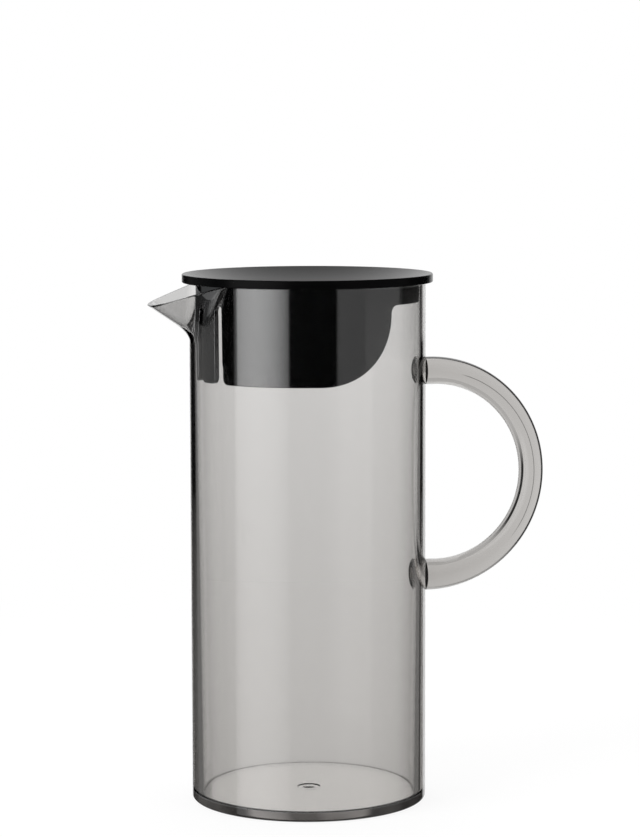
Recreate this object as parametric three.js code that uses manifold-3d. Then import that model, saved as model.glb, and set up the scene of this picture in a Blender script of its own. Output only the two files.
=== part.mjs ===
// Clear jug with a round bonded handle and a lift-out lid that carries a strainer.
// Millimetres, +Z up. The origin is the centre of the underside, on the jug's axis.
// The spout points along -X and the handle along +X.

import * as THREE from 'three';
import { mergeVertices } from 'three/addons/utils/BufferGeometryUtils.js';
import Module from 'manifold-3d';

const wasm = await Module();
wasm.setup();

const degrees = THREE.MathUtils.degToRad;

// Jug body: a straight outside, and an inside that opens towards the rim
const BODY_RADIUS = 52.5;
const BODY_HEIGHT = 232;
const WALL_AT_RIM = 2.4;
const WALL_AT_FLOOR = 4.7;
const FLOOR_THICKNESS = 4;
const FOOT_ROUND = 1.5;
const FLOOR_ROUND = 2.5;
const RIM_ROUND = 0.4;

// Moulding gate mark in the middle of the inside floor
const GATE_RING_RADIUS = 5;
const GATE_RING_DEPTH = 0.5;
const GATE_NUB_RADIUS = 2.5;
const GATE_NUB_HEIGHT = 0.75;

// Spout: a rounded V in plan that leans outwards along a straight keel and opens towards its foot
const SPOUT_REACH = 71.75;
const SPOUT_TIP_DROP = 9.4;
const SPOUT_TIP_HEIGHT = BODY_HEIGHT - SPOUT_TIP_DROP;
const SPOUT_KEEL_RISE = degrees(34.3);
const SPOUT_LIP_FALL = degrees(18);
const SPOUT_HALF_ANGLE = degrees(24);
const SPOUT_SPREAD = degrees(0.08);
const SPOUT_NOSE = 16;
const SPOUT_WALL = 2.6;
const SPOUT_BLEND = 6.6;
const FLANK_BLEND = 2;
const FLANK_ANGLE = degrees(25);
const LIP_BLEND = 1.2;

// Handle: a half circle on two short straight runs, thicker towards its roots
const HANDLE_MID_HEIGHT = 145;
const HANDLE_BEND_RADIUS = 46.25;
const HANDLE_STRAIGHT = 4.5;
const HANDLE_TOP_ROOT_RADIUS = 6.2;
const HANDLE_GRIP_RADIUS = 5.5;
const HANDLE_LOW_ROOT_RADIUS = 7;
const HANDLE_GROOVE_WIDTH = 1.1;
const HANDLE_GROOVE_DEPTH = 1;
const HANDLE_BOND_GAP = 0.3;

// Lid cap: a plain disc with a low round locator under it
const CAP_RADIUS = 55.65;
const CAP_THICKNESS = 3.75;
const CAP_TOP_ROUND = 0.9;
const CAP_UNDER_ROUND = 0.4;
const LOCATOR_HEIGHT = 2;
const LOCATOR_CLEARANCE = 0.35;

// Lid strainer: a shallow collar all round, with a deep slotted apron on one side
const STRAINER_CLEARANCE = 0.4;
const STRAINER_WALL = 2.1;
const COLLAR_DEPTH = 8.3;
const APRON_DEPTH = 42.6;
const APRON_EDGE_ANGLE = degrees(132.2);
const APRON_TOE_ANGLE = degrees(93.2);
const APRON_SHOULDER_DEPTH = 12.3;
const APRON_FILLET = 3.5;
const SLOT_COUNT = 5;
const SLOT_PITCH = degrees(18.4);
const SLOT_WIDTH = 5.2;
const SLOT_TOP_DEPTH = 8.5;
const SLOT_CORNER = 2.8;
const LID_REST_TURN = degrees(-8);

// Fineness of the solids, and how far cutting shapes run past what they cut
const ROUND_SEGMENTS = 72;
const CORNER_SEGMENTS = 3;
const SPOUT_ROWS = 7;
const HANDLE_STEPS = 26;
const HANDLE_SIDES = 16;
const CURVE_SEGMENTS = 8;
const OVERCUT = 5;

// Inside radius of the jug at a height, without the spout
function innerRadius(height) {
  const rise = (height - FLOOR_THICKNESS) / (BODY_HEIGHT - FLOOR_THICKNESS);
  return BODY_RADIUS - THREE.MathUtils.lerp(WALL_AT_FLOOR, WALL_AT_RIM, rise);
}

// The larger of two values, with a soft passage where they are close
function softMax(a, b, blend) {
  const overlap = Math.max(blend - Math.abs(a - b), 0);
  return Math.max(a, b) + (overlap * overlap) / (4 * blend);
}

// Distance from the jug's axis to the spout's V at an angle from the spout's middle
function spoutRadius(angle, height, inset) {
  const tip = SPOUT_REACH + (height - SPOUT_TIP_HEIGHT) / Math.tan(SPOUT_KEEL_RISE);
  const halfAngle = SPOUT_HALF_ANGLE + (BODY_HEIGHT - height) ** 2 * SPOUT_SPREAD;
  const centre = tip - SPOUT_NOSE;
  const nose = SPOUT_NOSE - inset;
  const sine = Math.sin(halfAngle);
  const noseEnd = Math.atan2(nose * Math.cos(halfAngle), centre + nose * sine);
  if (angle < noseEnd) {
    return centre * Math.cos(angle) + Math.sqrt(nose ** 2 - (centre * Math.sin(angle)) ** 2);
  }
  return (centre * sine + nose) / Math.sin(Math.min(angle + halfAngle, Math.PI / 2));
}

// Softness of the passage from the wall to the spout: wide under the keel, tight at the flanks
function spoutBlend(angle) {
  const share = THREE.MathUtils.smoothstep(angle, 0, FLANK_ANGLE);
  return THREE.MathUtils.lerp(SPOUT_BLEND, FLANK_BLEND, share);
}

function outsideOf(angle, height) {
  return softMax(BODY_RADIUS, spoutRadius(angle, height, 0), spoutBlend(angle));
}

function insideOf(angle, height) {
  return softMax(innerRadius(height), spoutRadius(angle, height, SPOUT_WALL), spoutBlend(angle));
}

// Distance from the jug's axis at a share of the way through the wall, from outside to inside
function wallRadius(angle, height, share) {
  return THREE.MathUtils.lerp(outsideOf(angle, height), insideOf(angle, height), share);
}

// Height of the rim at an angle: level, and falling along the spout's lip to its tip
function rimHeight(angle, share) {
  let low = SPOUT_TIP_HEIGHT - SPOUT_BLEND;
  let high = BODY_HEIGHT;
  for (let step = 0; step < 40; step += 1) {
    const height = (low + high) / 2;
    const run = SPOUT_REACH - wallRadius(angle, height, share) * Math.cos(angle);
    const lip = SPOUT_TIP_HEIGHT + run * Math.tan(SPOUT_LIP_FALL);
    if (-softMax(-BODY_HEIGHT, -lip, LIP_BLEND) > height) low = height;
    else high = height;
  }
  return high;
}

// Height where the spout starts to leave the wall
const SPOUT_FOOT =
  SPOUT_TIP_HEIGHT - (SPOUT_REACH - BODY_RADIUS + SPOUT_BLEND) * Math.tan(SPOUT_KEEL_RISE);

// Points of a quarter round from one angle to another about a centre
function corner(x, y, radius, from, to) {
  const arc = new THREE.EllipseCurve(x, y, radius, radius, from, to, to < from);
  return arc.getPoints(CORNER_SEGMENTS);
}

function rowHeights(from, to, rows) {
  return Array.from({ length: rows + 1 }, (_, row) => THREE.MathUtils.lerp(from, to, row / rows));
}

// A profile of [radius, height] turned about Z
function turned(profile) {
  return new THREE.LatheGeometry(profile, ROUND_SEGMENTS).rotateX(Math.PI / 2);
}

function point(radius, height) {
  return new THREE.Vector2(radius, height);
}

// A closed geometry as a solid for cutting and joining
function solid(geometry) {
  const bare = geometry.clone();
  bare.deleteAttribute('normal');
  bare.deleteAttribute('uv');
  const merged = mergeVertices(bare);
  return new wasm.Manifold(
    new wasm.Mesh({
      numProp: 3,
      vertProperties: new Float32Array(merged.attributes.position.array),
      triVerts: new Uint32Array(merged.index.array),
    }),
  );
}

function geometryOf(manifold) {
  const mesh = manifold.getMesh();
  const geometry = new THREE.BufferGeometry();
  geometry.setAttribute('position', new THREE.BufferAttribute(mesh.vertProperties, 3));
  geometry.setIndex(new THREE.BufferAttribute(mesh.triVerts, 1));
  geometry.computeVertexNormals();
  return geometry;
}

// An upright round cutter on the jug's axis
function uprightCutter(radius) {
  const cutter = new THREE.CylinderGeometry(radius, radius, BODY_HEIGHT, ROUND_SEGMENTS);
  return solid(cutter.rotateX(Math.PI / 2).translate(0, 0, BODY_HEIGHT / 2));
}

function jugProfile() {
  const floor = FLOOR_THICKNESS;
  const cornerRadius = innerRadius(floor + FLOOR_ROUND) - FLOOR_ROUND;
  const rimInside = BODY_RADIUS - WALL_AT_RIM;
  const rows = rowHeights(SPOUT_FOOT, BODY_HEIGHT - RIM_ROUND, SPOUT_ROWS);
  const outsideRows = rows.map((height) => point(BODY_RADIUS, height));
  const insideRows = rows.map((height) => point(innerRadius(height), height)).reverse();
  return [
    point(0, 0),
    ...corner(BODY_RADIUS - FOOT_ROUND, FOOT_ROUND, FOOT_ROUND, -Math.PI / 2, 0),
    ...outsideRows,
    point(BODY_RADIUS - RIM_ROUND, BODY_HEIGHT),
    point(rimInside + RIM_ROUND, BODY_HEIGHT),
    ...insideRows,
    ...corner(cornerRadius, floor + FLOOR_ROUND, FLOOR_ROUND, 0, -Math.PI / 2),
    point(GATE_RING_RADIUS, floor),
    point(GATE_RING_RADIUS - GATE_RING_DEPTH, floor - GATE_RING_DEPTH),
    point(GATE_NUB_RADIUS, floor - GATE_RING_DEPTH),
    point(GATE_NUB_RADIUS - GATE_RING_DEPTH, floor - GATE_RING_DEPTH + GATE_NUB_HEIGHT),
    point(0, floor - GATE_RING_DEPTH + GATE_NUB_HEIGHT),
  ];
}

// The turned jug with its wall pulled out into the spout and its rim lowered along the lip
function jugBody() {
  const geometry = turned(jugProfile());
  const places = geometry.attributes.position;
  for (let index = 0; index < places.count; index += 1) {
    const x = places.getX(index);
    const y = places.getY(index);
    const height = places.getZ(index);
    if (height < SPOUT_FOOT) continue;
    const angle = Math.abs(Math.atan2(y, -x));
    const radius = Math.hypot(x, y);
    const inward = (BODY_RADIUS - radius) / (BODY_RADIUS - innerRadius(height));
    const share = THREE.MathUtils.clamp(inward, 0, 1);
    const rise = (height - SPOUT_FOOT) / (BODY_HEIGHT - SPOUT_FOOT);
    const newHeight = THREE.MathUtils.lerp(SPOUT_FOOT, rimHeight(angle, share), rise);
    const scale = wallRadius(angle, newHeight, share) / radius;
    places.setXYZ(index, x * scale, y * scale, newHeight);
  }
  return geometryOf(solid(geometry));
}

// Middle line of the handle, from inside the lower root round to the upper one
class HandleLine extends THREE.Curve {
  getPoint(share, target = new THREE.Vector3()) {
    const straight = HANDLE_STRAIGHT + OVERCUT;
    const bend = Math.PI * HANDLE_BEND_RADIUS;
    const run = share * (2 * straight + bend);
    const angle = THREE.MathUtils.clamp((run - straight) / HANDLE_BEND_RADIUS, 0, Math.PI);
    const back = Math.max(straight - run, run - straight - bend, 0);
    return target.set(
      BODY_RADIUS + HANDLE_STRAIGHT + HANDLE_BEND_RADIUS * Math.sin(angle) - back,
      0,
      HANDLE_MID_HEIGHT - HANDLE_BEND_RADIUS * Math.cos(angle),
    );
  }
}

// Radius of the handle's round section, by the share of the way up from its middle
function handleRadius(share) {
  const root = share > 0 ? HANDLE_TOP_ROOT_RADIUS : HANDLE_LOW_ROOT_RADIUS;
  return THREE.MathUtils.lerp(HANDLE_GRIP_RADIUS, root, share * share);
}

// A round bar along the handle's line, swelling towards the roots
function handleBar() {
  const section = new THREE.Shape().absarc(0, 0, 1, 0, 2 * Math.PI);
  const bar = new THREE.ExtrudeGeometry(section, {
    steps: HANDLE_STEPS,
    curveSegments: HANDLE_SIDES / 2,
    bevelEnabled: false,
    extrudePath: new HandleLine(),
  });
  const places = bar.attributes.position;
  const bendCentre = BODY_RADIUS + HANDLE_STRAIGHT;
  for (let index = 0; index < places.count; index += 1) {
    const place = new THREE.Vector3().fromBufferAttribute(places, index);
    const out = place.x - bendCentre;
    const up = place.z - HANDLE_MID_HEIGHT;
    const angle = out > 0 ? Math.atan2(up, out) : (Math.sign(up) * Math.PI) / 2;
    const middle = new THREE.Vector3(
      out > 0 ? bendCentre + HANDLE_BEND_RADIUS * Math.cos(angle) : place.x,
      0,
      HANDLE_MID_HEIGHT + HANDLE_BEND_RADIUS * Math.sin(angle),
    );
    place.sub(middle).multiplyScalar(handleRadius(angle / (Math.PI / 2))).add(middle);
    places.setXYZ(index, place.x, place.y, place.z);
  }
  return solid(bar);
}

// A narrower round boss that bonds the handle to the wall and leaves a groove round the joint
function handleBoss(side, rootRadius) {
  const radius = rootRadius - HANDLE_GROOVE_DEPTH;
  const length = OVERCUT + HANDLE_STRAIGHT;
  const boss = new THREE.CylinderGeometry(radius, radius, length, HANDLE_SIDES).rotateZ(Math.PI / 2);
  const height = HANDLE_MID_HEIGHT + side * HANDLE_BEND_RADIUS;
  return solid(boss.translate(BODY_RADIUS - OVERCUT + length / 2, 0, height));
}

function handle() {
  const bar = handleBar().subtract(uprightCutter(BODY_RADIUS + HANDLE_GROOVE_WIDTH));
  const bosses = handleBoss(1, HANDLE_TOP_ROOT_RADIUS).add(handleBoss(-1, HANDLE_LOW_ROOT_RADIUS));
  const bonded = bosses.subtract(uprightCutter(BODY_RADIUS + HANDLE_BOND_GAP));
  return geometryOf(bar.add(bonded));
}

// Outside radius of the strainer at a depth under the cap, following the inside of the jug
function strainerRadius(depth) {
  return innerRadius(BODY_HEIGHT - depth) - STRAINER_CLEARANCE;
}

function lidCap() {
  const locatorRadius = strainerRadius(0) - STRAINER_WALL - LOCATOR_CLEARANCE;
  const underEdge = CAP_RADIUS - CAP_UNDER_ROUND;
  const underRound = corner(underEdge, CAP_UNDER_ROUND, CAP_UNDER_ROUND, -Math.PI / 2, 0);
  const topEdge = CAP_RADIUS - CAP_TOP_ROUND;
  const topRound = corner(topEdge, CAP_THICKNESS - CAP_TOP_ROUND, CAP_TOP_ROUND, 0, Math.PI / 2);
  return turned([
    point(0, -LOCATOR_HEIGHT),
    point(locatorRadius, -LOCATOR_HEIGHT),
    point(locatorRadius, 0),
    ...underRound,
    ...topRound,
    point(0, CAP_THICKNESS),
  ]);
}

// A flat outline pushed outwards through the strainer's wall at an angle round it
function radialCutter(outline, angle) {
  const reach = strainerRadius(0);
  const cutter = new THREE.ExtrudeGeometry(outline, {
    depth: reach,
    bevelEnabled: false,
    curveSegments: CURVE_SEGMENTS / 2,
  });
  const outwards = new THREE.Vector3(Math.cos(angle), Math.sin(angle), 0);
  const upwards = new THREE.Vector3(0, 0, 1);
  const along = new THREE.Vector3().crossVectors(upwards, outwards);
  const frame = new THREE.Matrix4().makeBasis(along, upwards, outwards);
  frame.setPosition(outwards.multiplyScalar(reach / 2));
  return solid(cutter.applyMatrix4(frame));
}

// A slot with a round top, open at the bottom between rounded corners
function slotOutline() {
  const half = SLOT_WIDTH / 2;
  const low = -APRON_DEPTH;
  const outline = new THREE.Shape();
  outline.moveTo(-half - SLOT_CORNER, low - OVERCUT);
  outline.lineTo(half + SLOT_CORNER, low - OVERCUT);
  outline.lineTo(half + SLOT_CORNER, low);
  outline.absarc(half + SLOT_CORNER, low + SLOT_CORNER, SLOT_CORNER, -Math.PI / 2, -Math.PI, true);
  outline.lineTo(half, -SLOT_TOP_DEPTH - half);
  outline.absarc(0, -SLOT_TOP_DEPTH - half, half, 0, Math.PI, false);
  outline.lineTo(-half, low + SLOT_CORNER);
  outline.absarc(-half - SLOT_CORNER, low + SLOT_CORNER, SLOT_CORNER, 0, -Math.PI / 2, true);
  outline.closePath();
  return outline;
}

// Middle of the apron's curved end, and half the width of that curve
const APRON_END_MIDDLE = (APRON_EDGE_ANGLE + APRON_TOE_ANGLE) / 2;
const APRON_END_HALF = strainerRadius(0) * Math.sin((APRON_EDGE_ANGLE - APRON_TOE_ANGLE) / 2);
const APRON_END_REACH = APRON_END_HALF + APRON_FILLET + OVERCUT;

// What is cut away past the apron's end: a sweep up from the toe, then a fillet into the collar
function apronEndOutline(side) {
  const toe = -APRON_END_HALF;
  const edge = APRON_END_HALF;
  const low = -APRON_DEPTH;
  const sweepHeight = APRON_DEPTH - APRON_SHOULDER_DEPTH;
  const sweep = new THREE.EllipseCurve(
    toe, -APRON_SHOULDER_DEPTH, edge - toe, sweepHeight, -Math.PI / 2, 0, false,
  );
  const filletHeight = -COLLAR_DEPTH - APRON_FILLET;
  const fillet = corner(edge + APRON_FILLET, filletHeight, APRON_FILLET, Math.PI, Math.PI / 2);
  const outline = [
    point(toe, low - OVERCUT),
    ...sweep.getPoints(CURVE_SEGMENTS),
    ...fillet,
    point(APRON_END_REACH, -COLLAR_DEPTH),
    point(APRON_END_REACH, low - OVERCUT),
  ];
  return new THREE.Shape(outline.map((place) => point(side * place.x, place.y)));
}

// The wedge of the skirt that is cut away under the collar, between the apron's ends
function openSideCutter() {
  const reach = 2 * BODY_RADIUS;
  const start = APRON_END_MIDDLE + Math.asin((APRON_END_REACH - OVERCUT / 2) / strainerRadius(0));
  const wedge = new THREE.Shape();
  wedge.moveTo(0, 0);
  wedge.absarc(0, 0, reach, start, 2 * Math.PI - start, false);
  wedge.closePath();
  const depth = APRON_DEPTH + OVERCUT - COLLAR_DEPTH;
  const cutter = new THREE.ExtrudeGeometry(wedge, {
    depth,
    bevelEnabled: false,
    curveSegments: CURVE_SEGMENTS,
  });
  return solid(cutter.translate(0, 0, -APRON_DEPTH - OVERCUT));
}

// The strainer in the lid's own frame: under the cap, slots along +X
function lidStrainer() {
  const ring = turned([
    point(strainerRadius(APRON_DEPTH), -APRON_DEPTH),
    point(strainerRadius(COLLAR_DEPTH), -COLLAR_DEPTH),
    point(strainerRadius(0), 0),
    point(strainerRadius(0) - STRAINER_WALL, 0),
    point(strainerRadius(COLLAR_DEPTH) - STRAINER_WALL, -COLLAR_DEPTH),
    point(strainerRadius(APRON_DEPTH) - STRAINER_WALL, -APRON_DEPTH),
    point(strainerRadius(APRON_DEPTH), -APRON_DEPTH),
  ]);
  let strainer = solid(ring).subtract(openSideCutter());
  for (const side of [1, -1]) {
    strainer = strainer.subtract(radialCutter(apronEndOutline(side), side * APRON_END_MIDDLE));
  }
  for (let slot = 0; slot < SLOT_COUNT; slot += 1) {
    const angle = (slot - (SLOT_COUNT - 1) / 2) * SLOT_PITCH;
    strainer = strainer.subtract(radialCutter(slotOutline(), angle));
  }
  return geometryOf(strainer);
}

function piece(name, geometry, color, roughness, opacity = 1) {
  const material = new THREE.MeshStandardMaterial({
    color, roughness, metalness: 0, opacity, transparent: opacity < 1,
  });
  const mesh = new THREE.Mesh(geometry, material);
  mesh.name = name;
  return mesh;
}

const SMOKE = 0xb9b7b5;
const BLACK = 0x141516;

const jug = new THREE.Group();
jug.add(piece('jug_body', jugBody(), SMOKE, 0.05, 0.45));
jug.add(piece('handle', handle(), SMOKE, 0.05, 0.45));

const cap = piece('lid_cap', lidCap(), BLACK, 0.6);
cap.position.z = BODY_HEIGHT;
jug.add(cap);

// The lid's slotted side faces the spout, a little turned as it was last put down
const turnedLid = new THREE.Group();
turnedLid.position.z = BODY_HEIGHT;
turnedLid.rotation.z = Math.PI + LID_REST_TURN;
turnedLid.add(piece('lid_strainer', lidStrainer(), BLACK, 0.15));
jug.add(turnedLid);

export default jug;
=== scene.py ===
import math

import bmesh
import bpy
import numpy as np
from mathutils import Matrix, Vector
from mathutils.geometry import delaunay_2d_cdt


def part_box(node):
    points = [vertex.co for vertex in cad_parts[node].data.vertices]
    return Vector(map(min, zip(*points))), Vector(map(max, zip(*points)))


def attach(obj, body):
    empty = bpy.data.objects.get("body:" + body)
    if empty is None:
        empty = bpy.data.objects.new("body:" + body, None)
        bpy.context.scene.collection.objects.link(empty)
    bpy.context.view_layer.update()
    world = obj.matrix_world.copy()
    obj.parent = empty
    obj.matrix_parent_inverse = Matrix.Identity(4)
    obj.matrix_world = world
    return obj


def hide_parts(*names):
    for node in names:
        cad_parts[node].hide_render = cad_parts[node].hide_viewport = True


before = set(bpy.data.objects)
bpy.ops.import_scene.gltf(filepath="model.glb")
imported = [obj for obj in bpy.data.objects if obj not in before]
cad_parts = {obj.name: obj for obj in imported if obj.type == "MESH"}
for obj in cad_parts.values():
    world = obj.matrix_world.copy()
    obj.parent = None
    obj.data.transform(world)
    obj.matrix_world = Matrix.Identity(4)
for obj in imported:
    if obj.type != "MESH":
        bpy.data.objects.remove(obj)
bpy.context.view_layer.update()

# Sizes of the solids, in metres
MM = 0.001
_, jug_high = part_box("jug_body")
cap_low, cap_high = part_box("lid_cap")
BODY_RADIUS = jug_high.y
BODY_HEIGHT = jug_high.z
WALL_AT_RIM = 2.4 * MM
WALL_AT_FLOOR = 4.7 * MM
FLOOR_THICKNESS = 4 * MM
FOOT_ROUND = 1.5 * MM
FLOOR_ROUND = 0.8 * MM
RIM_ROUND = 0.4 * MM
GATE_RING_RADIUS = 5 * MM
GATE_RING_DEPTH = 0.3 * MM
GATE_RING_LIP = 0.1 * GATE_RING_DEPTH
GATE_NUB_RADIUS = 2.5 * MM
GATE_NUB_HEIGHT = 0.4 * MM
SPOUT_REACH = 71.64 * MM
SPOUT_TIP_HEIGHT = BODY_HEIGHT - 9.4 * MM
SPOUT_KEEL_RISE = math.radians(34.3)
SPOUT_LIP_FALL = math.radians(18)
SPOUT_HALF_ANGLE = math.radians(24)
SPOUT_SPREAD = math.radians(0.08) / MM**2
SPOUT_NOSE = 16 * MM
SPOUT_WALL = 2.6 * MM
SPOUT_BLEND = 6.6 * MM
SPOUT_DROP = (SPOUT_REACH - BODY_RADIUS + SPOUT_BLEND) * math.tan(SPOUT_KEEL_RISE)
SPOUT_FOOT = SPOUT_TIP_HEIGHT - SPOUT_DROP
FLANK_BLEND = 2 * MM
FLANK_ANGLE = math.radians(25)
LIP_BLEND = 1.2 * MM
HANDLE_MID_HEIGHT = 145 * MM
HANDLE_BEND_RADIUS = 46.25 * MM
HANDLE_STRAIGHT = 4.5 * MM
HANDLE_TOP_ROOT_RADIUS = 6.2 * MM
HANDLE_GRIP_RADIUS = 5.5 * MM
HANDLE_LOW_ROOT_RADIUS = 7 * MM
HANDLE_GROOVE_WIDTH = 1.1 * MM
HANDLE_GROOVE_DEPTH = 1 * MM
HANDLE_BOND = -0.1 * MM
HANDLE_HOLLOW = 0.04 * MM
HANDLE_EDGE_ROUND = 0.3 * MM
HANDLE_EDGE_SUPPORT = 1.6 * HANDLE_EDGE_ROUND
HANDLE_SEAM = 0.05 * MM
CAP_RADIUS = cap_high.y
CAP_TOP = cap_high.z
CAP_UNDER = BODY_HEIGHT
CAP_TOP_ROUND = 0.5 * MM
CAP_UNDER_ROUND = 0.4 * MM
LOCATOR_BOTTOM = cap_low.z
LOCATOR_CLEARANCE = 0.35 * MM
STRAINER_CLEARANCE = 0.4 * MM
STRAINER_WALL = 2.1 * MM
STRAINER_BEVEL = 0.25 * MM
COLLAR_DEPTH = 8.3 * MM
APRON_DEPTH = 42.6 * MM
APRON_EDGE_ANGLE = math.radians(132.2)
APRON_TOE_ANGLE = math.radians(93.2)
APRON_SHOULDER_DEPTH = 12.3 * MM
APRON_FILLET = 3.5 * MM
SLOT_COUNT = 5
SLOT_PITCH = math.radians(18.4)
SLOT_WIDTH = 5.2 * MM
SLOT_TOP_DEPTH = 8.5 * MM
SLOT_CORNER = 2.8 * MM
LID_TURN = math.pi + math.radians(-8)

# Shares of a boss's radius: where the rings of its face start, its hollow ends and its rim ends
FACE_START = 0.2
FACE_HOLLOW_END = 0.5
FACE_BOND_START = FACE_HOLLOW_END + 0.02
FACE_RIM = 0.96
FACE_CHAMFER = 0.05

# Run past the groove over which a root stops following the round wall
BOW_RUN = HANDLE_STRAIGHT / 1.4

# Fineness of the meshes
FINE_STEP = math.radians(0.5)
ROUND_STEP = math.radians(1.25)
FINE_HALF_ANGLE = math.radians(45)
SHARP_ANGLE = math.radians(40)
BEVEL_ANGLE = math.radians(50)
BEVEL_SEGMENTS = 2
SUPPORT = 0.4 * MM
SAME_PLACE = 1e-7
RIM_HALVINGS = 40
WALL_ROWS = 12
SPOUT_ROWS = 44
DOME_ROWS = 7
CORNER_STEPS = 8
EDGE_STEPS = 4
HANDLE_SIDES = 56
HANDLE_STEPS = 120
FACE_RINGS = 5
STRAIGHT_RINGS = 6
SLOT_CORNER_STEPS = 5
SLOT_TOP_STEPS = 16
SLOT_SIDE_SHARES = np.linspace(0.15, 0.85, 6)
SWEEP_POINTS = 33
SKIRT_FIRST_ROW = 2 * MM
SKIRT_ROW_STEP = 3 * MM
SKIRT_EDGE_MARGIN = 1 * MM
SKIRT_EDGE_NEAR = 1.5 * MM
SEAM_TOLERANCE = 1e-6

# Camera, at the photograph's viewing angle
CAMERA_TURN = math.radians(12)
CAMERA_TILT = 0.10946
CAMERA_ROLL = -0.0026
CAMERA_PLACE = Vector((-0.2671, -1.2829, 0.3149))
CAMERA_LENS = 127.24
CAMERA_SENSOR = 36

# Fixed level directions of the object's frame: across the photograph, and out of it
RIGHTWARDS = (math.cos(CAMERA_TURN), -math.sin(CAMERA_TURN), 0)
TOWARDS = (-math.sin(CAMERA_TURN), -math.cos(CAMERA_TURN), 0)

# Layer Weight's blend at which Facing is 0 towards the eye and 1 edge-on, and the noise's mean
EVEN_BLEND = 0.5
NOISE_MEAN = 0.5

# Clear smoke-grey plastic
SMOKE_COLOUR = (0.125, 0.085, 0.04, 1)
SMOKE_IOR = 1.57
WALL_DENSITY = 76
BAR_DENSITY = 64

# Painted dark outlines of the clear plastic, painted shade that stands in for dark surroundings seen
# at its edges, fitted to the photograph, over the surface's turn from the eye: where the line begins
# and is full, its tint, where it ends, and the tint of the edge beyond
WALL_LEFT = (0.655, 0.715, 0.003, 0.8, 0.5)
WALL_RIGHT = (0.69, 0.715, 0.006, 0.755, 0.45)
BAR_INNER = (0.18, 0.21, 0.002, 0.35, 0.8)
BAR_OUTER = (0.45, 0.5, 0.01, 0.9, 0.01)
OUTLINE_END_WIDTH = 0.1
OUTLINE_SIDE_WIDTH = 0.3
OUTLINE_TOP_WIDTH = 7 * MM
WALL_OUTLINE_RADIUS = 52.2 * MM
WALL_OUTLINE_HEIGHTS = (35 * MM, 140 * MM)
WALL_OUTLINE_STRENGTHS = (0.05, 1)

# Where the bar's painted outlines are strong, by the direction out of the loop's middle
INNER_OUTWARD = (0.55, 0.85)
INNER_UPWARD = (0.55, 0.05)
INNER_STRENGTHS = (0.35, 1)
OUTER_UPWARD = (-0.95, -0.6)
OUTER_STRENGTHS = (0.5, 1)

# Dark band at the foot, which stands in for light that bends in the thick floor's edge
FOOT_BAND_TOP = 4.7 * MM
FOOT_BAND_FADE = 0.6 * MM
FOOT_BAND_RADIUS = 50.5 * MM
FOOT_BAND_COLOUR = (1, 0.94, 0.9)
FOOT_BAND_NOISE_SCALE = 45
FOOT_BAND_NOISE = (0.35, 0.65)
FOOT_BAND_TONES = (0.2, 0.55)
FOOT_BAND_TURN = (0.14, 0.2)
FOOT_BAND_TURNED_TONE = 0.25
FOOT_BAND_CLEARNESS = 0.5

# Tints that stand in for light that bends in the spout, the handle's roots and its seam
SPOUT_TINT = 0.8
SPOUT_TINT_RADII = (53.2 * MM, 55 * MM)
ROOT_TINT = 0.0004
ROOT_MARGIN = 0.1 * MM
ROOT_INSET = 0.4 * MM
BOND_MARGIN = 0.02 * MM
BOND_STRENGTH = 0.999
BOND_MIDDLE_COLOUR = (0.95, 0.94, 0.93, 1)
SEAM_STRENGTH = 0.75
SEAM_HALF_WIDTH = 0.2 * MM
SEAM_OUTWARD = (11 * MM, 16 * MM)
SEAM_UPWARD = (-33 * MM, -22 * MM)

# Black plastics
MATT_COLOUR = (0.002, 0.002, 0.0021, 1)
MATT_SPECULAR = 0.1
MATT_GRAIN_SCALE = 2600
MATT_GRAIN_ROUGHNESS = 0.15
MATT_BUMP_STRENGTH = 0.4
MATT_BUMP_HEIGHT = 0.05 * MM
MATT_SIDE_ROUGHNESS = 0.22
MATT_TOP_ROUGHNESS = (0.66, 0.24)
POLISH_BY_SIDES = 0.85
POLISH_BY_FRONT = 0.45
POLISH_REACH = 1.6 * CAP_RADIUS
GLOSS_COLOUR = (0.001, 0.001, 0.0012, 1)
GLOSS_IOR = 4
GLOSS_TINT = (0.96, 0.98, 1, 1)
GLOSS_NOISE_SCALE = 60
GLOSS_ROUGHNESS = (0.05, 0.09)

# Room for mirrored light. Angles are in degrees to the right of the photograph's side of the object,
# and heights are the upward part of a ray's direction
ROOM_LEAST = 0.001
BOX_EDGE = 1.5
SOFT_EDGE = 3
KEY_MIDDLE = 54
KEY_FADE_ANGLE = 34
KEY_FADE = 0.69
KEY_LOWEST = (-0.55, -0.4)
LOW_BOX_HEIGHTS = (-0.08, -0.12)
SCREEN_LEFT = (-161, -167)
SCREEN_RIGHT = (151, 157)
SCREEN_RISE = (0, 0.06)
SCREEN_RISEN = 1.7
WALL_DEPTH = 3.5
FAR_DEPTH = 4.5
BOUNCE_LOSS = 0.5
BOUNCE_LEAST = 0.05
FAR_LEAST = 0.9
AMBIENT = 0.55

# Paper floor
PAPER_RADIUS = 0.6
PAPER_SEGMENTS = 96
PAPER_DROP = 0.3 * MM
PAPER_COLOUR = (0.8, 0.8, 0.8, 1)
SHADOW_FADE = (0.2, 0.55)
SHADOW_SHARE = 0.12
WHITE = (1, 1, 1, 1)

# Name, angle to the right of the camera in degrees, height, distance, size and power of each lamp
LAMPS = (
    ("key_lamp", -50, 0.9, 1.3, 0.9, 14),
    ("fill_lamp", 55, 0.8, 1.4, 0.9, 5),
    ("top_lamp", 170, 1.4, 0.5, 1.0, 8),
)


def lerp(start, end, share):
    return start + (end - start) * share


def soft_max(a, b, blend):
    overlap = np.maximum(blend - np.abs(a - b), 0)
    return np.maximum(a, b) + overlap**2 / (4 * blend)


def inner_radius(height):
    rise = (height - FLOOR_THICKNESS) / (BODY_HEIGHT - FLOOR_THICKNESS)
    return BODY_RADIUS - lerp(WALL_AT_FLOOR, WALL_AT_RIM, rise)


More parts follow.
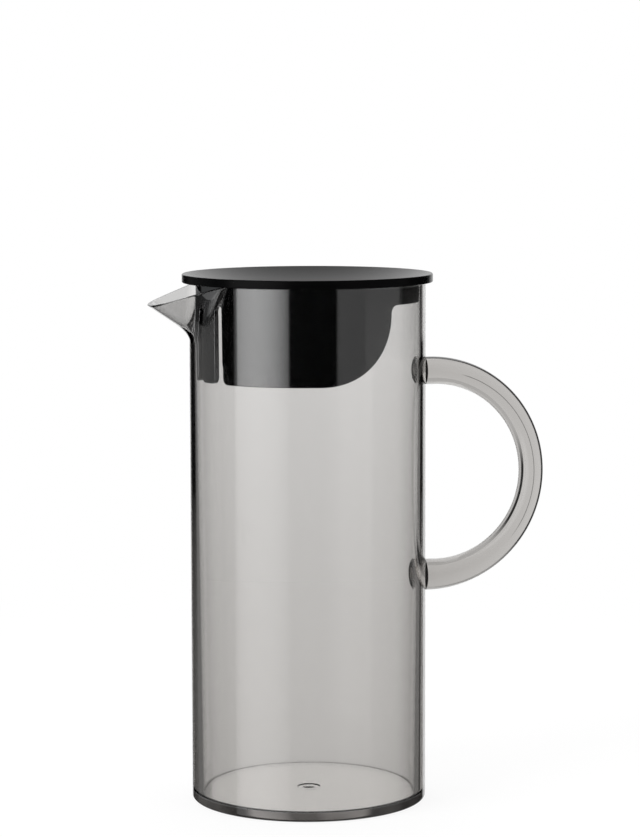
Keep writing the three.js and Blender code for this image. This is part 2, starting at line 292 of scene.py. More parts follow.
def spout_radius(angle, height, inset):
    """Distance from the axis to the spout's V at an angle from the spout's middle."""
    tip = SPOUT_REACH + (height - SPOUT_TIP_HEIGHT) / math.tan(SPOUT_KEEL_RISE)
    half_angle = SPOUT_HALF_ANGLE + (BODY_HEIGHT - height) ** 2 * SPOUT_SPREAD
    centre = tip - SPOUT_NOSE
    nose = SPOUT_NOSE - inset
    sine = np.sin(half_angle)
    nose_end = np.arctan2(nose * np.cos(half_angle), centre + nose * sine)
    inside_nose = np.maximum(nose**2 - (centre * np.sin(angle)) ** 2, 0)
    on_nose = centre * np.cos(angle) + np.sqrt(inside_nose)
    on_flank = (centre * sine + nose) / np.sin(np.minimum(angle + half_angle, math.pi / 2))
    return np.where(angle < nose_end, on_nose, on_flank)


def spout_blend(angle):
    share = np.clip(angle / FLANK_ANGLE, 0, 1)
    return lerp(SPOUT_BLEND, FLANK_BLEND, share * share * (3 - 2 * share))


def outside_of(angle, height):
    return soft_max(BODY_RADIUS, spout_radius(angle, height, 0), spout_blend(angle))


def inside_of(angle, height):
    spout = spout_radius(angle, height, SPOUT_WALL)
    return soft_max(inner_radius(height), spout, spout_blend(angle))


def wall_radius(angle, height, share):
    """Distance from the axis at a share of the way through the wall, from outside to inside."""
    return lerp(outside_of(angle, height), inside_of(angle, height), share)


def rim_height(angle, share):
    """Height of the rim at an angle: level, and falling along the spout's lip to its tip."""
    low = np.full_like(angle, SPOUT_TIP_HEIGHT - SPOUT_BLEND)
    high = np.full_like(angle, BODY_HEIGHT)
    for _ in range(RIM_HALVINGS):
        height = (low + high) / 2
        run = SPOUT_REACH - wall_radius(angle, height, share) * np.cos(angle)
        lip = SPOUT_TIP_HEIGHT + run * math.tan(SPOUT_LIP_FALL)
        above = -soft_max(-BODY_HEIGHT, -lip, LIP_BLEND) > height
        low = np.where(above, height, low)
        high = np.where(above, high, height)
    return high


def arc(x, z, radius, start, end, steps=CORNER_STEPS):
    """Points of an arc about (x, z) from one angle to another, in degrees."""
    angles = np.radians(np.linspace(start, end, steps + 1))
    return [(x + radius * math.cos(a), z + radius * math.sin(a)) for a in angles]


def finish_mesh(name, vertices, faces, material, body, nodes):
    """Make a smooth piece of vertices and faces that stands for CAD nodes on a body."""
    mesh = bpy.data.meshes.new(name)
    mesh.from_pydata([tuple(v) for v in vertices], [], faces)
    work = bmesh.new()
    work.from_mesh(mesh)
    bmesh.ops.remove_doubles(work, verts=work.verts, dist=SAME_PLACE)
    bmesh.ops.recalc_face_normals(work, faces=work.faces)
    work.to_mesh(mesh)
    work.free()
    mesh.shade_smooth()
    mesh.set_sharp_from_angle(angle=SHARP_ANGLE)
    mesh.materials.append(material)
    piece = bpy.data.objects.new(name, mesh)
    bpy.context.scene.collection.objects.link(piece)
    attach(piece, body)
    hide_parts(*nodes)
    return piece


def grid_faces(rows, columns):
    """Faces of a grid closed round its columns, with a point at each end."""
    faces = []
    first = rows * columns
    last = first + 1
    for column in range(columns):
        after = (column + 1) % columns
        faces.append((first, after, column))
        end = (rows - 1) * columns
        faces.append((last, end + column, end + after))
        for row in range(rows - 1):
            low = row * columns
            high = low + columns
            faces.append((low + column, low + after, high + after, high + column))
    return faces


def turned_mesh(profile, angles):
    """Vertices and faces of a profile of (radius, height) turned about Z, closed at each end."""
    radius, height = np.array(profile)[1:-1].T
    circle = np.array([np.cos(angles), np.sin(angles)]).T
    rings = [[(r * c, r * s, z) for c, s in circle] for r, z in zip(radius, height)]
    vertices = [place for ring in rings for place in ring]
    vertices += [(0, 0, profile[0][1]), (0, 0, profile[-1][1])]
    return np.array(vertices), grid_faces(len(rings), len(angles))


def jug_profile():
    """Outline of the plain jug: under, outside, rim, inside, floor and gate mark."""
    floor = FLOOR_THICKNESS
    corner_radius = inner_radius(floor + FLOOR_ROUND) - FLOOR_ROUND
    rim_inside = BODY_RADIUS - WALL_AT_RIM
    foot_edge = BODY_RADIUS - FOOT_ROUND
    heights = list(np.linspace(FOOT_ROUND + SUPPORT, SPOUT_FOOT, WALL_ROWS))[:-1]
    heights += list(np.linspace(SPOUT_FOOT, BODY_HEIGHT - RIM_ROUND - SUPPORT, SPOUT_ROWS))
    inside_heights = [h for h in reversed(heights) if h > floor + FLOOR_ROUND + SUPPORT]
    inside_heights += [floor + FLOOR_ROUND + SUPPORT]
    ring = GATE_RING_RADIUS
    dip = floor - GATE_RING_DEPTH
    dome = np.linspace(1, 0, DOME_ROWS)
    return [
        (0, 0),
        (foot_edge / 2, 0),
        (foot_edge - SUPPORT, 0),
        *arc(foot_edge, FOOT_ROUND, FOOT_ROUND, -90, 0),
        *[(BODY_RADIUS, h) for h in heights],
        *arc(BODY_RADIUS - RIM_ROUND, BODY_HEIGHT - RIM_ROUND, RIM_ROUND, 0, 90),
        *arc(rim_inside + RIM_ROUND, BODY_HEIGHT - RIM_ROUND, RIM_ROUND, 90, 180),
        *[(inner_radius(h), h) for h in inside_heights],
        *arc(corner_radius, floor + FLOOR_ROUND, FLOOR_ROUND, 0, -90),
        (corner_radius - SUPPORT, floor),
        (corner_radius / 2, floor),
        (ring + 2 * SUPPORT, floor),
        (ring + SUPPORT, floor),
        (ring, floor - GATE_RING_LIP),
        (ring - GATE_RING_DEPTH, dip),
        (GATE_NUB_RADIUS + SUPPORT, dip),
        *[(GATE_NUB_RADIUS * s, dip + GATE_NUB_HEIGHT * math.sqrt(1 - s * s)) for s in dome],
    ]


def jug_body(material):
    """The turned jug with its wall pulled out into the spout and its rim lowered along the lip."""
    fine = np.arange(-FINE_HALF_ANGLE, FINE_HALF_ANGLE, FINE_STEP)
    plain = np.arange(FINE_HALF_ANGLE, 2 * math.pi - FINE_HALF_ANGLE, ROUND_STEP)
    angles = np.concatenate([fine, plain]) + math.pi
    vertices, faces = turned_mesh(jug_profile(), angles)
    x, y, height = vertices.T
    high = height > SPOUT_FOOT
    x, y, height = x[high], y[high], height[high]
    angle = np.abs(np.arctan2(y, -x))
    radius = np.hypot(x, y)
    rise = (height - SPOUT_FOOT) / (BODY_HEIGHT - SPOUT_FOOT)
    inward = (BODY_RADIUS - radius) / (BODY_RADIUS - inner_radius(height))
    share = np.clip(inward, 0, 1)
    new_height = lerp(SPOUT_FOOT, rim_height(angle, share), rise)
    scale = wall_radius(angle, new_height, share) / radius
    vertices[high] = np.array([x * scale, y * scale, new_height]).T
    finish_mesh("jug_shell", vertices, faces, material, "jug", ["jug_body"])


def handle_radius(share):
    """Radius of the bar at a share of the way from its middle to its top (1) or low (-1) root."""
    root = HANDLE_TOP_ROOT_RADIUS if share > 0 else HANDLE_LOW_ROOT_RADIUS
    return lerp(HANDLE_GRIP_RADIUS, root, share * share)


def root_rings(root):
    """Rings (radius, run) from the middle of a boss's face out to the start of the bend."""
    boss = root - HANDLE_GROOVE_DEPTH
    groove = HANDLE_GROOVE_WIDTH
    edge = HANDLE_EDGE_ROUND
    hollow = np.linspace(FACE_START, FACE_HOLLOW_END, FACE_RINGS)
    straight = np.linspace(groove + 2 * edge, HANDLE_STRAIGHT, STRAIGHT_RINGS)
    return [
        *[(boss * share, HANDLE_HOLLOW) for share in hollow],
        *[(boss * share, HANDLE_BOND) for share in (FACE_BOND_START, FACE_RIM)],
        (boss, HANDLE_BOND + FACE_CHAMFER * boss),
        (boss, groove - edge),
        (boss + edge / 2, groove),
        (root - HANDLE_EDGE_SUPPORT, groove),
        *arc(root - edge, groove + edge, edge, -90, 0, EDGE_STEPS),
        *[(root, run) for run in straight],
    ]


def root_rows(side, root, turn):
    """Rows of vertices of the top (1) or low (-1) root, bowed to follow the round wall."""
    height = HANDLE_MID_HEIGHT + side * HANDLE_BEND_RADIUS
    rows = []
    for radius, run in root_rings(root):
        y = radius * np.sin(turn)
        z = height + side * radius * np.cos(turn)
        wall = BODY_RADIUS + run
        bow = max(0, 1 - max(run - HANDLE_GROOVE_WIDTH, 0) / BOW_RUN)
        x = wall - bow * (wall - np.sqrt(wall**2 - y**2))
        rows.append(np.array([x, y, z]).T)
    return rows


def handle(material):
    """A round bar bent into a half circle, with a narrower boss and a groove at each root."""
    turn = np.linspace(0, 2 * math.pi, HANDLE_SIDES, endpoint=False)
    seam = HANDLE_SIDES * 3 // 4
    rows = root_rows(-1, HANDLE_LOW_ROOT_RADIUS, turn)
    for bend in np.linspace(-math.pi / 2, math.pi / 2, HANDLE_STEPS + 1)[1:-1]:
        radius = handle_radius(bend / (math.pi / 2))
        reach = HANDLE_BEND_RADIUS + radius * np.cos(turn)
        x = BODY_RADIUS + HANDLE_STRAIGHT + reach * math.cos(bend)
        y = radius * np.sin(turn)
        y[seam] -= HANDLE_SEAM
        rows.append(np.array([x, y, HANDLE_MID_HEIGHT + reach * math.sin(bend)]).T)
    rows += root_rows(1, HANDLE_TOP_ROOT_RADIUS, turn)[::-1]
    vertices = [place for row in rows for place in row]
    vertices += [rows[0].mean(axis=0), rows[-1].mean(axis=0)]
    faces = grid_faces(len(rows), HANDLE_SIDES)
    finish_mesh("handle_bar", vertices, faces, material, "jug", ["handle"])


def strainer_radius(depth):
    return inner_radius(BODY_HEIGHT - depth) - STRAINER_CLEARANCE


def lid_disc(material):
    """The turned cap with its low locator."""
    locator = strainer_radius(0) - STRAINER_WALL - LOCATOR_CLEARANCE
    under_edge = CAP_RADIUS - CAP_UNDER_ROUND
    top_edge = CAP_RADIUS - CAP_TOP_ROUND
    profile = [
        (0, LOCATOR_BOTTOM),
        (locator - 2 * SUPPORT, LOCATOR_BOTTOM),
        *arc(locator - SUPPORT, LOCATOR_BOTTOM + SUPPORT, SUPPORT, -90, 0, EDGE_STEPS),
        (locator, CAP_UNDER),
        (under_edge - SUPPORT, CAP_UNDER),
        *arc(under_edge, CAP_UNDER + CAP_UNDER_ROUND, CAP_UNDER_ROUND, -90, 0),
        *arc(top_edge, CAP_TOP - CAP_TOP_ROUND, CAP_TOP_ROUND, 0, 90),
        (top_edge - SUPPORT, CAP_TOP),
        (top_edge / 2, CAP_TOP),
        (0, CAP_TOP),
    ]
    angles = np.arange(0, 2 * math.pi - SEAM_TOLERANCE, ROUND_STEP)
    vertices, faces = turned_mesh(profile, angles)
    finish_mesh("lid_disc", vertices, faces, material, "lid_cap", ["lid_cap"])


def slot_edge(middle):
    """Lower edge (angle, depth) of one slot, from its left bottom corner to its right one."""
    half = SLOT_WIDTH / 2
    corner = SLOT_CORNER
    left = arc(-half - corner, corner - APRON_DEPTH, corner, -90, 0, SLOT_CORNER_STEPS)
    top = arc(0, -SLOT_TOP_DEPTH - half, half, 180, 0, SLOT_TOP_STEPS)
    up = [(-half, lerp(left[-1][1], top[0][1], s)) for s in SLOT_SIDE_SHARES]
    right = [(-x, z) for x, z in reversed(left)]
    down = [(half, z) for _, z in reversed(up)]
    edge = left + up + top + down + right
    return [(middle + math.asin(x / strainer_radius(0)), -z) for x, z in edge]


def apron_end():
    """Lower edge (angle, depth) past the slots: a sweep up, a fillet and the collar's edge."""
    reach = strainer_radius(0)
    middle = (APRON_EDGE_ANGLE + APRON_TOE_ANGLE) / 2
    half = reach * math.sin((APRON_EDGE_ANGLE - APRON_TOE_ANGLE) / 2)
    sweep_height = APRON_DEPTH - APRON_SHOULDER_DEPTH
    sweep = [
        (-half + 2 * half * math.cos(a), -APRON_SHOULDER_DEPTH + sweep_height * math.sin(a))
        for a in np.linspace(-math.pi / 2, 0, SWEEP_POINTS)
    ]
    fillet = arc(half + APRON_FILLET, -COLLAR_DEPTH - APRON_FILLET, APRON_FILLET, 180, 90)
    return [(middle + math.asin(x / reach), -z) for x, z in sweep + fillet]


def strainer_edge():
    """The strainer's whole lower edge, from opposite the slots round to there again."""
    ends = apron_end()
    edge = [(-math.pi, COLLAR_DEPTH)]
    edge += [(-angle, depth) for angle, depth in reversed(ends)]
    for slot in range(SLOT_COUNT):
        edge += slot_edge((slot - (SLOT_COUNT - 1) / 2) * SLOT_PITCH)
    edge += ends + [(math.pi, COLLAR_DEPTH)]
    dense = [edge[0]]
    for (a0, d0), (a1, d1) in zip(edge, edge[1:]):
        steps = max(1, math.ceil(abs(a1 - a0) / ROUND_STEP))
        shares = [s / steps for s in range(1, steps + 1)]
        dense += [(lerp(a0, a1, share), lerp(d0, d1, share)) for share in shares]
    return dense


def skirt_sheet():
    """Places and triangles of the skirt's wall laid flat, as (arc length, minus depth)."""
    reach = strainer_radius(0)
    edge = strainer_edge()
    across = round(2 * math.pi / ROUND_STEP)
    top = [(math.pi - 2 * math.pi * s / across, 0) for s in range(across + 1)]
    flat = [Vector((angle * reach, -depth)) for angle, depth in edge + top]
    outline = list(range(len(flat)))
    edge_angles, edge_depths = np.array(edge).T
    for step in range(1, across):
        angle = -math.pi + 2 * math.pi * step / across
        near = np.abs(edge_angles - angle) * reach < SKIRT_EDGE_NEAR
        nearest = edge_depths[near].min(initial=APRON_DEPTH)
        end = min(nearest, np.interp(angle, edge_angles, edge_depths)) - SKIRT_EDGE_MARGIN
        for depth in np.arange(SKIRT_FIRST_ROW, end, SKIRT_ROW_STEP):
            flat.append(Vector((angle * reach, -depth)))
    places, _, triangles, *_ = delaunay_2d_cdt(flat, [], [outline], 1, SAME_PLACE)
    return places, triangles


def lid_strainer(material):
    """A thin wall cut along its lower edge, bent round under the cap."""
    reach = strainer_radius(0)
    places, triangles = skirt_sheet()
    total = len(places)
    outer = []
    inner = []
    for place in places:
        angle = place.x / reach + LID_TURN
        radius = strainer_radius(-place.y)
        for group, size in ((outer, radius), (inner, radius - STRAINER_WALL)):
            group.append((size * math.cos(angle), size * math.sin(angle), BODY_HEIGHT + place.y))
    faces = [tuple(face) for face in triangles]
    faces += [tuple(total + index for index in reversed(face)) for face in triangles]
    sides = {}
    for face in triangles:
        for a, b in zip(face, list(face[1:]) + [face[0]]):
            sides[(a, b)] = (b, a)
    seam = math.pi * reach - SEAM_TOLERANCE
    for (a, b), back in sides.items():
        on_seam = abs(places[a].x) > seam and abs(places[b].x) > seam
        if back not in sides and not on_seam:
            faces.append((b, a, total + a, total + b))
    vertices = outer + inner
    piece = finish_mesh(
        "lid_skirt", vertices, faces, material, "lid_strainer", ["lid_strainer"]
    )
    bevel = piece.modifiers.new("edges", "BEVEL")
    bevel.width = STRAINER_BEVEL
    bevel.segments = BEVEL_SEGMENTS
    bevel.limit_method = "ANGLE"
    bevel.angle_limit = BEVEL_ANGLE


def node(tree, kind, inputs=None, **settings):
    """Add a node, with each input linked to a socket or set to a value."""
    made = tree.nodes.new(kind)
    for name, value in settings.items():
        setattr(made, name, value)
    for socket, value in (inputs or {}).items():
        if isinstance(value, bpy.types.NodeSocket):
            tree.links.new(value, made.inputs[socket])
        else:
            made.inputs[socket].default_value = value
    return made


def maths(tree, operation, *values):
    return node(tree, "ShaderNodeMath", dict(enumerate(values)), operation=operation).outputs[0]


def product(tree, first, *others):
    for other in others:
        first = maths(tree, "MULTIPLY", first, other)
    return first


def largest(tree, first, *others):
    for other in others:
        first = maths(tree, "MAXIMUM", first, other)
    return first


def hypotenuse(tree, *sides):
    squares = [maths(tree, "POWER", side, 2) for side in sides]
    return maths(tree, "SQRT", maths(tree, "ADD", *squares))


def distance(tree, first, second):
    return maths(tree, "ABSOLUTE", maths(tree, "SUBTRACT", first, second))


def vector_maths(tree, operation, *values):
    """Outputs of a vector node: a vector first, or a number by the name Value."""
    inputs = dict(enumerate(values))
    return node(tree, "ShaderNodeVectorMath", inputs, operation=operation).outputs


def dot(tree, first, second):
    return vector_maths(tree, "DOT_PRODUCT", first, second)["Value"]


def axes(tree, vector):
    return list(node(tree, "ShaderNodeSeparateXYZ", {0: vector}).outputs)


def object_place(tree):
    return node(tree, "ShaderNodeTexCoord").outputs["Object"]


def smooth_step(tree, value, start, end):
    inputs = {"Value": value, "From Min": start, "From Max": end}
    made = node(tree, "ShaderNodeMapRange", inputs, interpolation_type="SMOOTHSTEP")
    return made.outputs["Result"]


def ramp(tree, value, low, high, start=0, end=1):
    """From low to high while the value goes from start to end."""
    inputs = {"Value": value, "From Min": start, "From Max": end, "To Min": low, "To Max": high}
    return node(tree, "ShaderNodeMapRange", inputs).outputs["Result"]


def blend(tree, share, first, second):
    step = product(tree, share, maths(tree, "SUBTRACT", second, first))
    return maths(tree, "ADD", first, step)


def mix_colours(tree, share, first, second):
    inputs = {0: share, 6: first, 7: second}
    return node(tree, "ShaderNodeMix", inputs, data_type="RGBA").outputs[2]


def object_noise(tree, scale, detail=2.0):
    inputs = {"Vector": object_place(tree), "Scale": scale, "Detail": detail}
    return node(tree, "ShaderNodeTexNoise", inputs).outputs["Fac"]


def new_material(name):
    material = bpy.data.materials.new(name)
    material.use_nodes = True
    tree = material.node_tree
    return material, tree, tree.nodes["Principled BSDF"], tree.nodes["Material Output"]


def outline_tint(tree, facing, band):
    """Painted shade over the turn away from the eye: clear, then a dark line, then the outermost
    edge.
    """
    begins, full, darkest, ends, edge = band
    line = ramp(tree, smooth_step(tree, facing, begins, full), 1, darkest)
    beyond = smooth_step(tree, facing, ends, ends + OUTLINE_END_WIDTH)
    return blend(tree, beyond, line, edge)


def to_the_right(tree, place):
    return RIGHTWARDS


def out_of_the_loop(tree, place):
    """Direction out of the middle of the handle's loop, in the plane of the loop."""
    centre = (BODY_RADIUS + HANDLE_STRAIGHT, 0, HANDLE_MID_HEIGHT)
    away = vector_maths(tree, "SUBTRACT", place, centre)[0]
    level = vector_maths(tree, "MULTIPLY", away, (1, 0, 1))[0]
    return vector_maths(tree, "NORMALIZE", level)[0]


def fading_down(tree, place):
    """Strengths of the wall's two painted outlines, which fade towards the foot."""
    _, _, height = axes(tree, place)
    strength = ramp(tree, height, *WALL_OUTLINE_STRENGTHS, *WALL_OUTLINE_HEIGHTS)
    return strength, strength


def fading_round(tree, place):
    """Strengths of the bar's painted inner and outer outline, which change round the loop."""
    outward, _, upward = axes(tree, out_of_the_loop(tree, place))
    far = smooth_step(tree, outward, *INNER_OUTWARD)
    low = smooth_step(tree, upward, *INNER_UPWARD)
    inner = blend(tree, product(tree, far, low), *INNER_STRENGTHS)
    outer = blend(tree, smooth_step(tree, upward, *OUTER_UPWARD), *OUTER_STRENGTHS)
    return inner, outer


def nowhere(tree, place):
    return 0


def roots_and_seam(tree, place):
    """Strength of the painted shade in the grooves and bonds of the handle's roots and on its seam,
    which stands in for light that bends there.
    """
    x, y, z = axes(tree, place)
    from_bend = maths(tree, "SUBTRACT", distance(tree, z, HANDLE_MID_HEIGHT), HANDLE_BEND_RADIUS)
    boss_edge = HANDLE_TOP_ROOT_RADIUS - HANDLE_GROOVE_DEPTH - ROOT_MARGIN
    outside = maths(tree, "GREATER_THAN", hypotenuse(tree, from_bend, y), boss_edge)
    near = maths(tree, "LESS_THAN", x, BODY_RADIUS + HANDLE_GROOVE_WIDTH + ROOT_MARGIN)
    past = maths(tree, "GREATER_THAN", x, BODY_RADIUS - ROOT_INSET)
    groove = product(tree, outside, near, past)
    bond = maths(tree, "LESS_THAN", hypotenuse(tree, x, y), BODY_RADIUS + BOND_MARGIN)
    outward = maths(tree, "SUBTRACT", x, BODY_RADIUS + HANDLE_STRAIGHT)
    upward = maths(tree, "SUBTRACT", z, HANDLE_MID_HEIGHT)
    aside = distance(tree, hypotenuse(tree, outward, upward), HANDLE_BEND_RADIUS)
    seam = product(
        tree,
        maths(tree, "LESS_THAN", aside, SEAM_HALF_WIDTH),
        maths(tree, "LESS_THAN", y, 0),
        smooth_step(tree, outward, *SEAM_OUTWARD),
        smooth_step(tree, upward, *SEAM_UPWARD),
        SEAM_STRENGTH,
    )
    return largest(tree, groove, product(tree, bond, BOND_STRENGTH), seam)


def bond_middle(tree, place):
    """One on the pale middle of the bond between a boss and the wall."""
    x, y, _ = axes(tree, place)
    hollow = BODY_RADIUS + HANDLE_HOLLOW
    return maths(tree, "COMPARE", hypotenuse(tree, x, y), hollow, BOND_MARGIN)


def outlines(tree, facing, first_hit, side_of, bands, least_radius, fading):
    """Painted shade of the two outlines, which lie to either side of a direction, below the spout.
    """
    coordinates = node(tree, "ShaderNodeTexCoord").outputs
    place = coordinates["Object"]
    x, y, height = axes(tree, place)
    tints = [
        blend(tree, strength, 1, outline_tint(tree, facing, band))
        for strength, band in zip(fading(tree, place), bands)
    ]
    side = dot(tree, coordinates["Normal"], side_of(tree, place))
    beside = smooth_step(tree, side, -OUTLINE_SIDE_WIDTH, OUTLINE_SIDE_WIDTH)
    outside = maths(tree, "GREATER_THAN", hypotenuse(tree, x, y), least_radius)
    below = smooth_step(tree, height, SPOUT_FOOT + OUTLINE_TOP_WIDTH, SPOUT_FOOT)
    where = product(tree, outside, first_hit, below)
    return blend(tree, where, 1, blend(tree, beside, *tints))


def foot_band(tree, facing):
    """Painted colour of the foot band, standing in for light that bends in the floor's edge: a warm
    grey with soft patches, with painted shade where it turns away.
    """
    noise = object_noise(tree, FOOT_BAND_NOISE_SCALE, 1)
    patches = ramp(tree, noise, *FOOT_BAND_TONES, *FOOT_BAND_NOISE)
    turned = blend(tree, smooth_step(tree, facing, *FOOT_BAND_TURN), 1, FOOT_BAND_TURNED_TONE)
    inputs = {0: FOOT_BAND_COLOUR, "Scale": product(tree, patches, turned)}
    return node(tree, "ShaderNodeVectorMath", inputs, operation="SCALE").outputs[0]


def smoke_plastic(name, density, dark, pale, **outline):
    """Clear smoke-grey plastic with painted dark outlines, which stand in for the dark edges it has
    in front of a narrow white screen, and painted shade in its spout, roots, seam and foot.
    """
    material, tree, shader, output = new_material(name)
    facing = node(tree, "ShaderNodeLayerWeight", {"Blend": EVEN_BLEND}).outputs["Facing"]
    first_hit = node(tree, "ShaderNodeLightPath").outputs["Is Camera Ray"]
    place = object_place(tree)
    x, y, height = axes(tree, place)
    radius = hypotenuse(tree, x, y)
    in_spout = product(
        tree,
        smooth_step(tree, radius, *SPOUT_TINT_RADII),
        maths(tree, "GREATER_THAN", height, SPOUT_FOOT),
    )
    # Painted dark outlines, and painted shade in the spout, roots and seam that stands in for light
    # that bends there
    tint = product(
        tree,
        outlines(tree, facing, first_hit, **outline),
        blend(tree, dark(tree, place), 1, ROOT_TINT),
        blend(tree, in_spout, 1, SPOUT_TINT),
    )
    # Painted foot band, which stands in for light that bends in the floor's edge
    foot = product(
        tree,
        smooth_step(tree, height, FOOT_BAND_TOP, FOOT_BAND_TOP - FOOT_BAND_FADE),
        maths(tree, "GREATER_THAN", radius, FOOT_BAND_RADIUS),
        first_hit,
    )
    whitened = pale(tree, place)
    colour = mix_colours(tree, foot, tint, foot_band(tree, facing))
    colour = mix_colours(tree, whitened, colour, BOND_MIDDLE_COLOUR)
    tree.links.new(colour, shader.inputs["Base Color"])
    foot_clear = blend(tree, foot, 1, FOOT_BAND_CLEARNESS)
    clear = product(tree, foot_clear, maths(tree, "SUBTRACT", 1, whitened))
    tree.links.new(clear, shader.inputs["Transmission Weight"])
    shader.inputs["IOR"].default_value = SMOKE_IOR
    shader.inputs["Roughness"].default_value = 0.0
    absorption = node(tree, "ShaderNodeVolumeAbsorption")
    absorption.inputs["Color"].default_value = SMOKE_COLOUR
    absorption.inputs["Density"].default_value = density
    tree.links.new(absorption.outputs["Volume"], output.inputs["Volume"])
    return material


def smoke_wall():
    return smoke_plastic(
        "smoke_wall",
        WALL_DENSITY,
        dark=nowhere,
        pale=nowhere,
        side_of=to_the_right,
        bands=(WALL_LEFT, WALL_RIGHT),
        least_radius=WALL_OUTLINE_RADIUS,
        fading=fading_down,
    )


def smoke_bar():
    return smoke_plastic(
        "smoke_bar",
        BAR_DENSITY,
        dark=roots_and_seam,
        pale=bond_middle,
        side_of=out_of_the_loop,
        bands=(BAR_INNER, BAR_OUTER),
        least_radius=0,
        fading=fading_round,
    )


def black_matt():
    """Matt black with a fine grain, and a top whose polish is fitted to the photograph's tones."""
    material, tree, shader, _ = new_material("black_matt")
    shader.inputs["Base Color"].default_value = MATT_COLOUR
    shader.inputs["Specular IOR Level"].default_value = MATT_SPECULAR
    grain = object_noise(tree, MATT_GRAIN_SCALE)
    place = object_place(tree)
    _, _, height = axes(tree, place)
    sideways = maths(tree, "DIVIDE", dot(tree, place, RIGHTWARDS), CAP_RADIUS)
    sides = product(tree, maths(tree, "POWER", sideways, 2), POLISH_BY_SIDES)
    front = smooth_step(tree, dot(tree, place, TOWARDS), -POLISH_REACH, POLISH_REACH)
    polish = maths(tree, "ADD", sides, product(tree, front, POLISH_BY_FRONT))
    on_top = blend(tree, polish, *MATT_TOP_ROUGHNESS)
    top = smooth_step(tree, height, CAP_TOP - CAP_TOP_ROUND, CAP_TOP)
    plain = blend(tree, top, MATT_SIDE_ROUGHNESS, on_top)
    grainy = product(tree, maths(tree, "SUBTRACT", grain, NOISE_MEAN), MATT_GRAIN_ROUGHNESS)
    tree.links.new(maths(tree, "ADD", plain, grainy), shader.inputs["Roughness"])
    relief = {"Height": grain, "Strength": MATT_BUMP_STRENGTH, "Distance": MATT_BUMP_HEIGHT}
    bump = node(tree, "ShaderNodeBump", relief)
    tree.links.new(bump.outputs["Normal"], shader.inputs["Normal"])
    return material


def black_gloss():
    material, tree, shader, _ = new_material("black_gloss")
    shader.inputs["Base Color"].default_value = GLOSS_COLOUR
    shader.inputs["IOR"].default_value = GLOSS_IOR
    shader.inputs["Specular Tint"].default_value = GLOSS_TINT
    rough = ramp(tree, object_noise(tree, GLOSS_NOISE_SCALE), *GLOSS_ROUGHNESS)
    tree.links.new(rough, shader.inputs["Roughness"])
    return material


def seen_rays(tree, path):
    """One for rays of the camera, mirrored rays and rays through clear plastic."""
    rays = ("Is Camera Ray", "Is Transmission Ray", "Is Glossy Ray")
    return largest(tree, *[path[ray] for ray in rays])


def mirrored_room(tree, path):
    """Strength of the room for mirrored light: a white screen behind and soft boxes at the sides."""
    ray = node(tree, "ShaderNodeTexCoord").outputs["Generated"]
    _, _, height = axes(tree, ray)
    azimuth = maths(tree, "ARCTAN2", dot(tree, ray, RIGHTWARDS), dot(tree, ray, TOWARDS))
    through = path["Transmission Depth"]

    def edge(start, end):
        return smooth_step(tree, azimuth, math.radians(start), math.radians(end))

    def box(start, end, soft):
        return product(tree, edge(start - soft, start + soft), edge(end + soft, end - soft))

    off_middle = maths(tree, "ADD", azimuth, math.radians(KEY_MIDDLE))
    off_middle = maths(tree, "DIVIDE", off_middle, math.radians(KEY_FADE_ANGLE))
    loss = product(tree, maths(tree, "POWER", off_middle, 2), KEY_FADE)
    fade = maths(tree, "SUBTRACT", 1, loss)
    above = smooth_step(tree, height, *KEY_LOWEST)
    below = smooth_step(tree, height, *LOW_BOX_HEIGHTS)
    inside = maths(tree, "MINIMUM", through, 1)
    in_wall = product(tree, inside, maths(tree, "LESS_THAN", through, WALL_DEPTH))
    rise = product(tree, smooth_step(tree, height, *SCREEN_RISE), inside)
    rising = blend(tree, rise, 1, SCREEN_RISEN)
    # Start, end and softness of each box in degrees, its strength, and what limits it
    boxes = (
        (-75, -18, BOX_EDGE, 1.1, fade, above),
        (30, 105, BOX_EDGE, 0.16),
        (-140, -97, SOFT_EDGE, 0.11),
        (-162, -140, SOFT_EDGE, 0.09, inside),
        (-162, -97, SOFT_EDGE, 0.24, in_wall),
        (60, 150, SOFT_EDGE, 0.42, in_wall, below),
    )
    parts = [product(tree, box(start, end, soft), *rest) for start, end, soft, *rest in boxes]
    parts += [product(tree, edge(*side), rising) for side in (SCREEN_LEFT, SCREEN_RIGHT)]
    room = ROOM_LEAST
    for part in parts:
        room = maths(tree, "ADD", room, part)
    bounces = maths(tree, "MAXIMUM", maths(tree, "SUBTRACT", path["Glossy Depth"], 1), 0)
    room = product(tree, room, maths(tree, "POWER", BOUNCE_LOSS, bounces))
    bounced = product(tree, maths(tree, "MINIMUM", bounces, 1), BOUNCE_LEAST)
    far = maths(tree, "GREATER_THAN", through, FAR_DEPTH)
    return largest(tree, room, blend(tree, far, bounced, FAR_LEAST))


def studio_world():
    """White behind the object, a dark room with soft boxes for mirrored light, and plain ambient."""
    world = bpy.data.worlds.new("studio")
    bpy.context.scene.world = world
    world.use_nodes = True
    tree = world.node_tree
    background = tree.nodes["Background"]
    path = node(tree, "ShaderNodeLightPath").outputs
    mirrored = maths(tree, "MINIMUM", path["Glossy Depth"], 1)
    shown = blend(tree, mirrored, 1, mirrored_room(tree, path))
    strength = blend(tree, seen_rays(tree, path), AMBIENT, shown)
    tree.links.new(strength, background.inputs["Strength"])
    background.inputs["Color"].default_value = WHITE


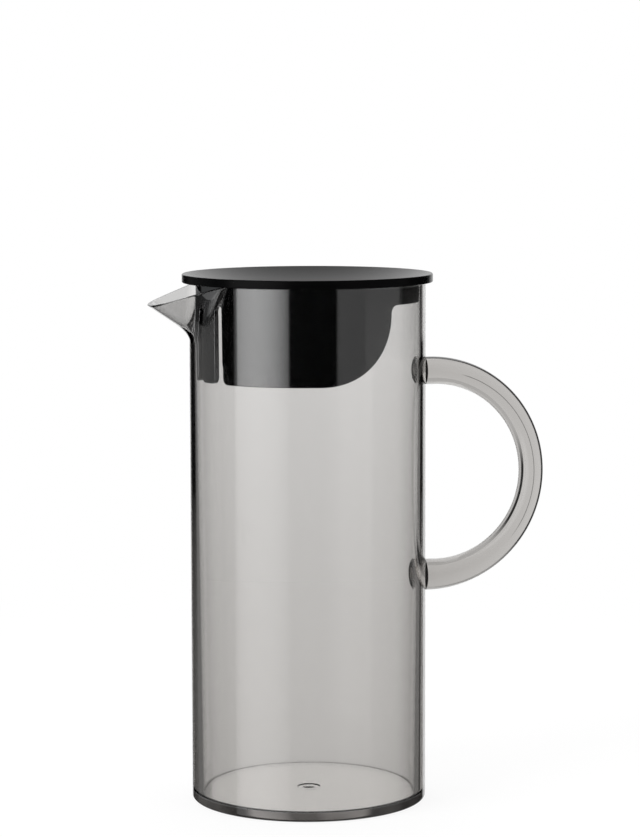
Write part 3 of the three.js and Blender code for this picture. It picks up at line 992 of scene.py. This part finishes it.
def floor_material():
    """White paper that keeps a soft part of the object's shadow and isn't mirrored."""
    material, tree, shader, output = new_material("white_paper")
    tree.nodes.remove(shader)
    path = node(tree, "ShaderNodeLightPath").outputs
    from_middle = vector_maths(tree, "LENGTH", object_place(tree))["Value"]
    far = smooth_step(tree, from_middle, *SHADOW_FADE)
    shade = product(tree, maths(tree, "SUBTRACT", 1, far), SHADOW_SHARE)
    glow = node(tree, "ShaderNodeEmission", {"Strength": 1.0}).outputs[0]
    lit = node(tree, "ShaderNodeBsdfDiffuse", {"Color": WHITE}).outputs[0]
    paper = node(tree, "ShaderNodeBsdfDiffuse", {"Color": PAPER_COLOUR}).outputs[0]
    nothing = node(tree, "ShaderNodeBsdfTransparent").outputs[0]

    def mix_shaders(share, first, second):
        return node(tree, "ShaderNodeMixShader", {0: share, 1: first, 2: second}).outputs[0]

    white = mix_shaders(shade, glow, lit)
    surface = mix_shaders(seen_rays(tree, path), paper, white)
    mirrored = maths(tree, "MINIMUM", path["Glossy Depth"], 1)
    tree.links.new(mix_shaders(mirrored, surface, nothing), output.inputs["Surface"])
    return material


def floor():
    mesh = bpy.data.meshes.new("floor")
    work = bmesh.new()
    bmesh.ops.create_circle(work, cap_ends=True, radius=PAPER_RADIUS, segments=PAPER_SEGMENTS)
    work.to_mesh(mesh)
    work.free()
    mesh.materials.append(floor_material())
    piece = bpy.data.objects.new("floor", mesh)
    piece.location.z = -PAPER_DROP
    bpy.context.scene.collection.objects.link(piece)


def lamp(name, azimuth, height, distance, size, power):
    """A square soft lamp aimed at the jug, by its angle to the right of the camera."""
    angle = math.radians(azimuth) - CAMERA_TURN
    place = Vector((distance * math.sin(angle), -distance * math.cos(angle), height))
    light = bpy.data.lights.new(name, "AREA")
    light.size = size
    light.energy = power
    made = bpy.data.objects.new(name, light)
    made.location = place
    aim = Vector((0, 0, BODY_HEIGHT / 2)) - place
    made.rotation_euler = aim.to_track_quat("-Z", "Y").to_euler()
    made.visible_camera = False
    made.visible_transmission = False
    made.visible_glossy = False
    bpy.context.scene.collection.objects.link(made)


def camera():
    forward = Vector((
        math.sin(CAMERA_TURN) * math.cos(CAMERA_TILT),
        math.cos(CAMERA_TURN) * math.cos(CAMERA_TILT),
        -math.sin(CAMERA_TILT),
    ))
    level = forward.cross(Vector((0, 0, 1))).normalized()
    upright = level.cross(forward)
    right = math.cos(CAMERA_ROLL) * level + math.sin(CAMERA_ROLL) * upright
    up = -math.sin(CAMERA_ROLL) * level + math.cos(CAMERA_ROLL) * upright
    data = bpy.data.cameras.new("camera")
    data.lens = CAMERA_LENS
    data.sensor_width = CAMERA_SENSOR
    made = bpy.data.objects.new("camera", data)
    turn = Matrix((right, up, -forward)).transposed().to_4x4()
    made.matrix_world = Matrix.Translation(CAMERA_PLACE) @ turn
    bpy.context.scene.collection.objects.link(made)
    bpy.context.scene.camera = made


wall = smoke_wall()
bar = smoke_bar()
jug_body(wall)
handle(bar)
lid_disc(black_matt())
lid_strainer(black_gloss())
studio_world()
floor()
for settings in LAMPS:
    lamp(*settings)
camera()

bpy.context.scene.view_settings.view_transform = "Standard"
